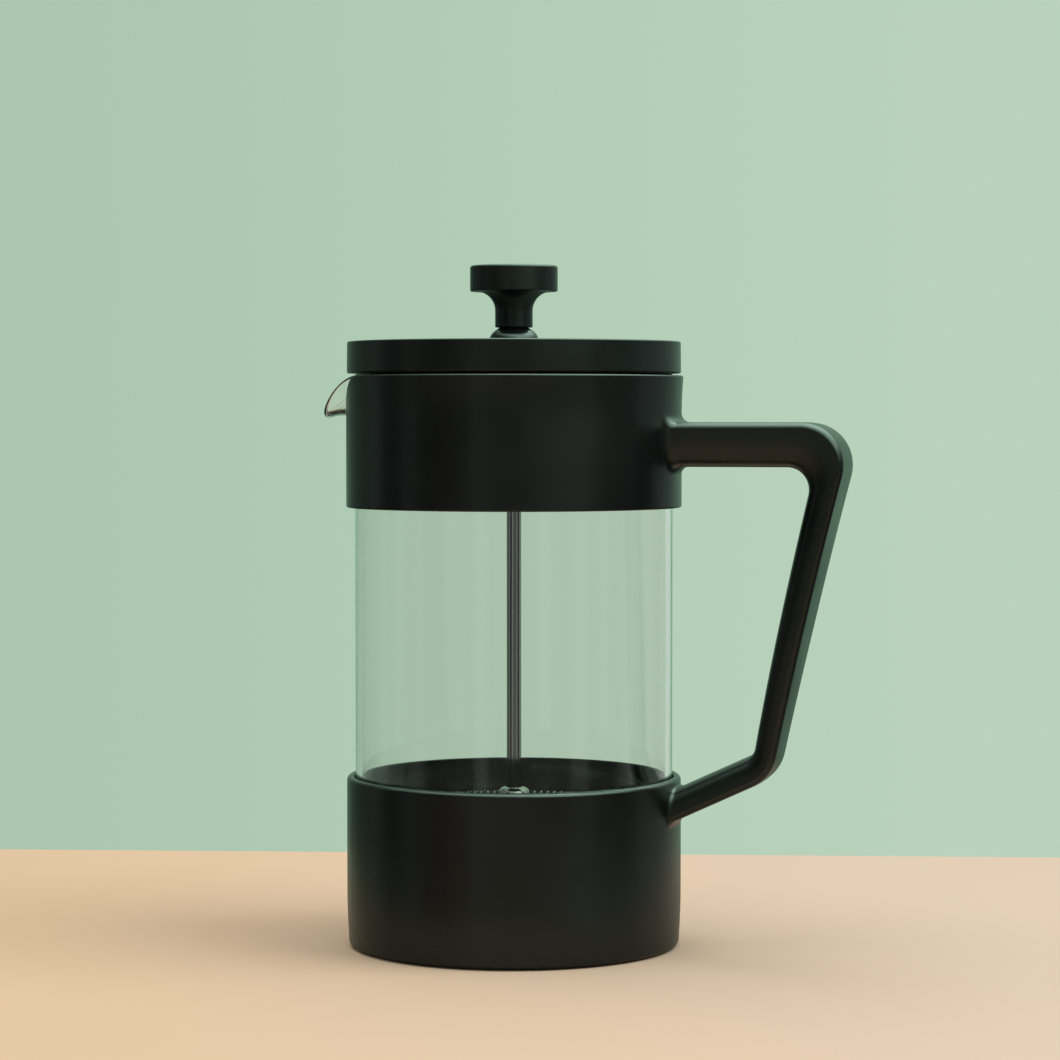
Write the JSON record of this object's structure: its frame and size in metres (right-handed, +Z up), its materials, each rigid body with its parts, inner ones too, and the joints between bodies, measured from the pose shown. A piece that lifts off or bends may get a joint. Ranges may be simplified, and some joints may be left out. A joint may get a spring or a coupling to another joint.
{
  "type": "french press",
  "caption": "French press with a spouted glass beaker in a moulded frame with an angular loop handle, a turning lid and a sliding plunger with a stacked disc filter.",
  "frame": {"origin": "centre of the anti-slip pad's underside, on the beaker's axis at table level", "axes": "+Z up along the beaker's axis, +X towards the handle, -X towards the spout"},
  "size_m": [0.1689, 0.1068, 0.2143],
  "materials": {
    "frame_plastic": "fine moulded texture, satin black",
    "lid_plastic": "fine moulded texture, satin black",
    "knob_plastic": "matt black",
    "guide_plastic": "gloss black",
    "silicone": "matt dark grey silicone",
    "beaker_glass": "clear borosilicate glass, fire-polished rim",
    "polished_steel": "drawn and polished stainless steel",
    "plate_steel": "pressed stainless sheet",
    "coil_steel": "bright spring wire",
    "mesh_steel": "fine woven stainless mesh",
    "insert_brass": "turned brass"
  },
  "bodies": {
    "frame": {"base_cup": "frame_plastic", "collar_band": "frame_plastic", "handle": "frame_plastic", "anti_slip_pad": "silicone", "beaker_seat": "silicone"},
    "beaker": {"glass_beaker": "beaker_glass"},
    "lid_bush": {"rod_guide": "guide_plastic"},
    "lid": {"lid_cap": "lid_plastic", "lid_strainer": "lid_plastic", "guide_nut": "lid_plastic"},
    "rod": {"plunger_rod": "polished_steel"},
    "plunger": {"knob": "knob_plastic", "knob_insert": "insert_brass", "hub_collar": "polished_steel", "hub_washer": "polished_steel", "spiral_plate": "plate_steel", "rim_coil": "coil_steel", "filter_mesh": "mesh_steel", "cross_plate": "plate_steel", "end_nut": "polished_steel"}
  },
  "joints": [
    {"name": "beaker_lift", "type": "slide", "parent": "frame", "child": "beaker", "axis": [0, 0, 1], "range_m": [0, 0.18]},
    {"name": "lid_lift", "type": "slide", "parent": "beaker", "child": "lid_bush", "axis": [0, 0, 1], "range_m": [0, 0.16]},
    {"name": "lid_turn", "type": "hinge", "parent": "lid_bush", "child": "lid", "pos_m": [0, 0, 0.185], "axis": [0, 0, 1], "continuous": true},
    {"name": "plunger_slide", "type": "slide", "parent": "lid_bush", "child": "rod", "axis": [0, 0, 1], "range_m": [0, 0.12]},
    {"name": "plunger_turn", "type": "hinge", "parent": "rod", "child": "plunger", "pos_m": [0, 0, 0.12], "axis": [0, 0, 1], "continuous": true}
  ]
}
